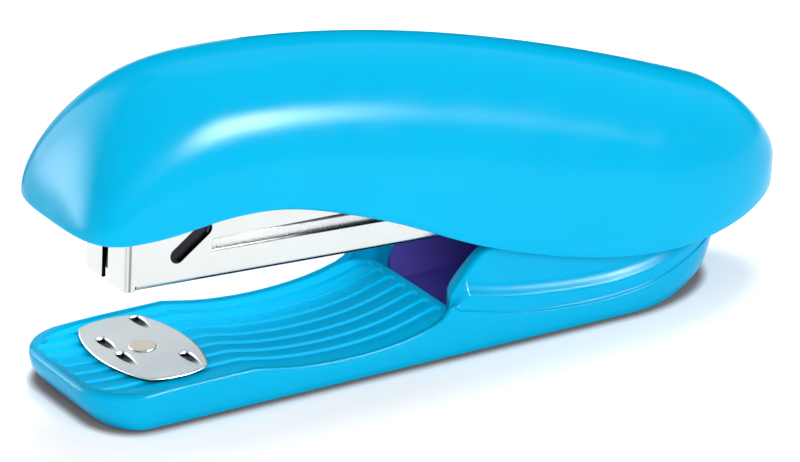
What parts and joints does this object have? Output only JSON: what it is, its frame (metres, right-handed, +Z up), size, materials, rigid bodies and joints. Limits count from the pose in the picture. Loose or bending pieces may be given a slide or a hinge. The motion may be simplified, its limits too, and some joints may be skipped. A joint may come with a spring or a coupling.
{
  "type": "stapler",
  "caption": "Half-strip desk stapler with a glossy blue cover and ribbed base, a steel magazine loaded with staples, a turning anvil and a sprung hinge.",
  "frame": {"origin": "centre of the bounding box's underside, on the table under the middle of the stapler", "axes": "+Z up; the nose points along -X and the hinge is towards +X; +Y is across, and the stapler is symmetric about Y = 0"},
  "size_m": [0.1484, 0.0388, 0.0603],
  "materials": {
    "cover_plastic": "glossy moulded plastic, saturated sky blue",
    "liner_plastic": "dark indigo moulded plastic, fine texture",
    "rubber": "soft black rubber, matt",
    "magazine_steel": "bright nickel plate with soft reflections",
    "anvil_steel": "satin nickel plate, pressed",
    "nickel": "warm nickel plate, satin",
    "steel_plate": "zinc plated pressed steel",
    "dark_steel": "blued hardened steel, oiled",
    "spring_steel": "drawn spring wire, nickel plated",
    "staple_wire": "galvanised wire glued in a strip",
    "pusher_plastic": "black moulded plastic"
  },
  "bodies": {
    "base": {"base_shell": "cover_plastic", "rubber_sole": "rubber", "base_liner": "liner_plastic", "hinge_bracket": "steel_plate", "bracket_screws": "steel_plate", "hinge_pin": "steel_plate", "pin_clip": "dark_steel", "lift_spring": "spring_steel"},
    "anvil": {"anvil_plate": "anvil_steel", "anvil_rivet": "nickel", "anvil_spring": "spring_steel", "anvil_retainer": "steel_plate"},
    "magazine": {"magazine_channel": "magazine_steel", "staple_rail": "dark_steel", "nose_liner": "dark_steel", "staple_strip": "staple_wire", "guide_rod": "steel_plate", "rod_seat": "dark_steel", "rail_rivets": "steel_plate", "pusher_spring": "spring_steel"},
    "pusher": {"pusher": "pusher_plastic"},
    "cover": {"top_cover": "cover_plastic", "screw_posts": "cover_plastic", "cover_frame": "steel_plate", "driver_blade": "dark_steel", "blade_rivets": "steel_plate", "cover_screws": "steel_plate", "press_spring": "spring_steel"}
  },
  "joints": [
    {"name": "anvil_turn", "type": "hinge", "parent": "base", "child": "anvil", "pos_m": [-0.05675, 0, 0.0076], "axis": [0, 0, 1], "range_deg": [0, 180]},
    {"name": "magazine_hinge", "type": "hinge", "parent": "base", "child": "magazine", "pos_m": [0.04625, 0, 0.02], "axis": [0, 1, 0], "range_deg": [-7.25, 8], "stiffness_Nm_per_rad": 1, "springref_deg": 3.21, "deforming": ["lift_spring"]},
    {"name": "cover_hinge", "type": "hinge", "parent": "magazine", "child": "cover", "pos_m": [0.04625, 0, 0.02], "axis": [0, 1, 0], "range_deg": [-3.78, 28], "stiffness_Nm_per_rad": 0.8, "springref_deg": 1.89, "deforming": ["press_spring"]},
    {"name": "pusher_slide", "type": "slide", "parent": "magazine", "child": "pusher", "axis": [0.9988, 0, -0.048], "range_m": [0, 0.028], "stiffness_N_per_m": 60, "springref_m": -0.02, "deforming": ["pusher_spring"]}
  ]
}
